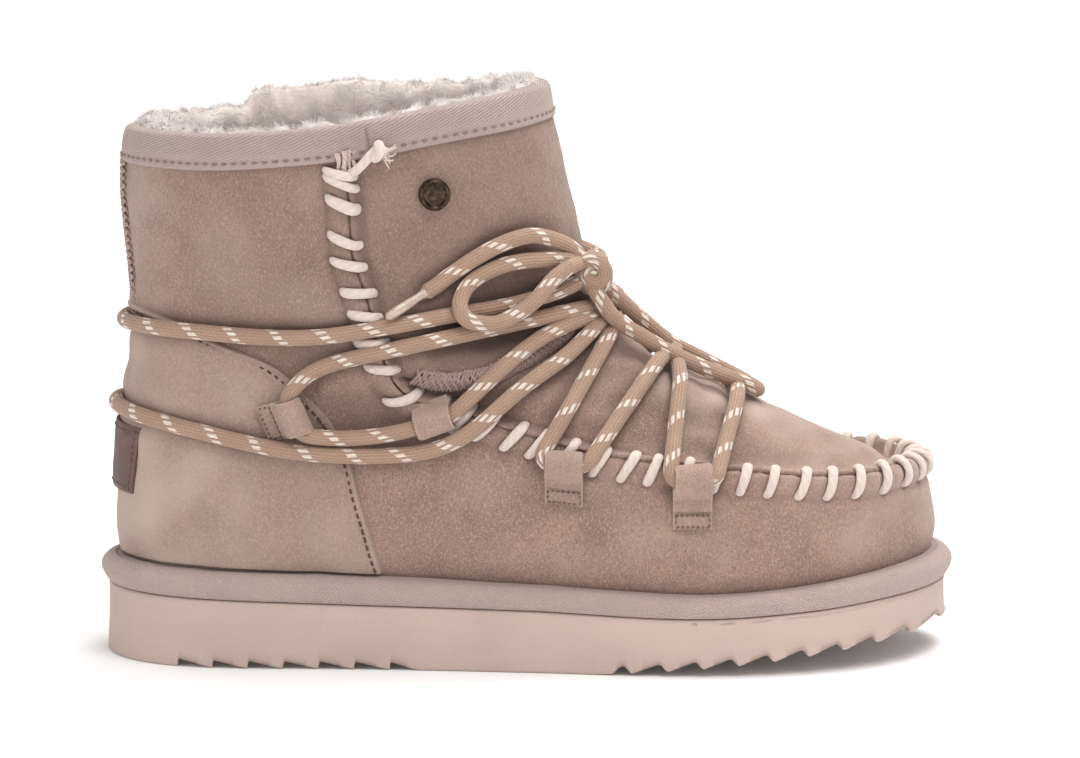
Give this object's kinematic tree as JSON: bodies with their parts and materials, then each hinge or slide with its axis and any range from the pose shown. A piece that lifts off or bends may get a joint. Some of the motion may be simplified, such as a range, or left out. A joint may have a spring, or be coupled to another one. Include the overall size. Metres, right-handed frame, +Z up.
{
  "type": "lace-up ankle boot",
  "caption": "Fleece-lined suede moccasin ankle boot with a whipstitched apron, a taped collar and welt, a wraparound cord lace with a bow, and a ribbed foam sole.",
  "frame": {"origin": "on the floor under the middle of the boot's box", "axes": "+X towards the toe, +Y towards the inner side of the foot, +Z up"},
  "size_m": [0.2708, 0.103, 0.1824],
  "materials": {
    "suede": "matte napped suede",
    "foam": "matte",
    "tape": "matte twill",
    "fleece": "deep pile",
    "label": "satin",
    "bronze": "dark antique",
    "cord": "braided",
    "aglet": "satin"
  },
  "bodies": {
    "root": {"upper": "suede", "sole": "foam", "welt": "tape", "insole": "fleece", "collar_binding": "tape", "heel_counter": "suede", "heel_label": "label", "stud": "bronze", "keeper_1_outer": "suede", "keeper_2_outer": "suede", "keeper_3_outer": "suede", "keeper_4_outer": "suede", "keeper_1_inner": "suede", "keeper_2_inner": "suede", "keeper_3_inner": "suede", "keeper_4_inner": "suede", "lace": "cord", "lace_knot": "cord", "lace_bow_rear": "cord", "lace_bow_front": "cord", "lace_end_outer": "cord", "lace_end_inner": "cord", "aglet_outer": "aglet", "aglet_inner": "aglet"}
  },
  "joints": []
}
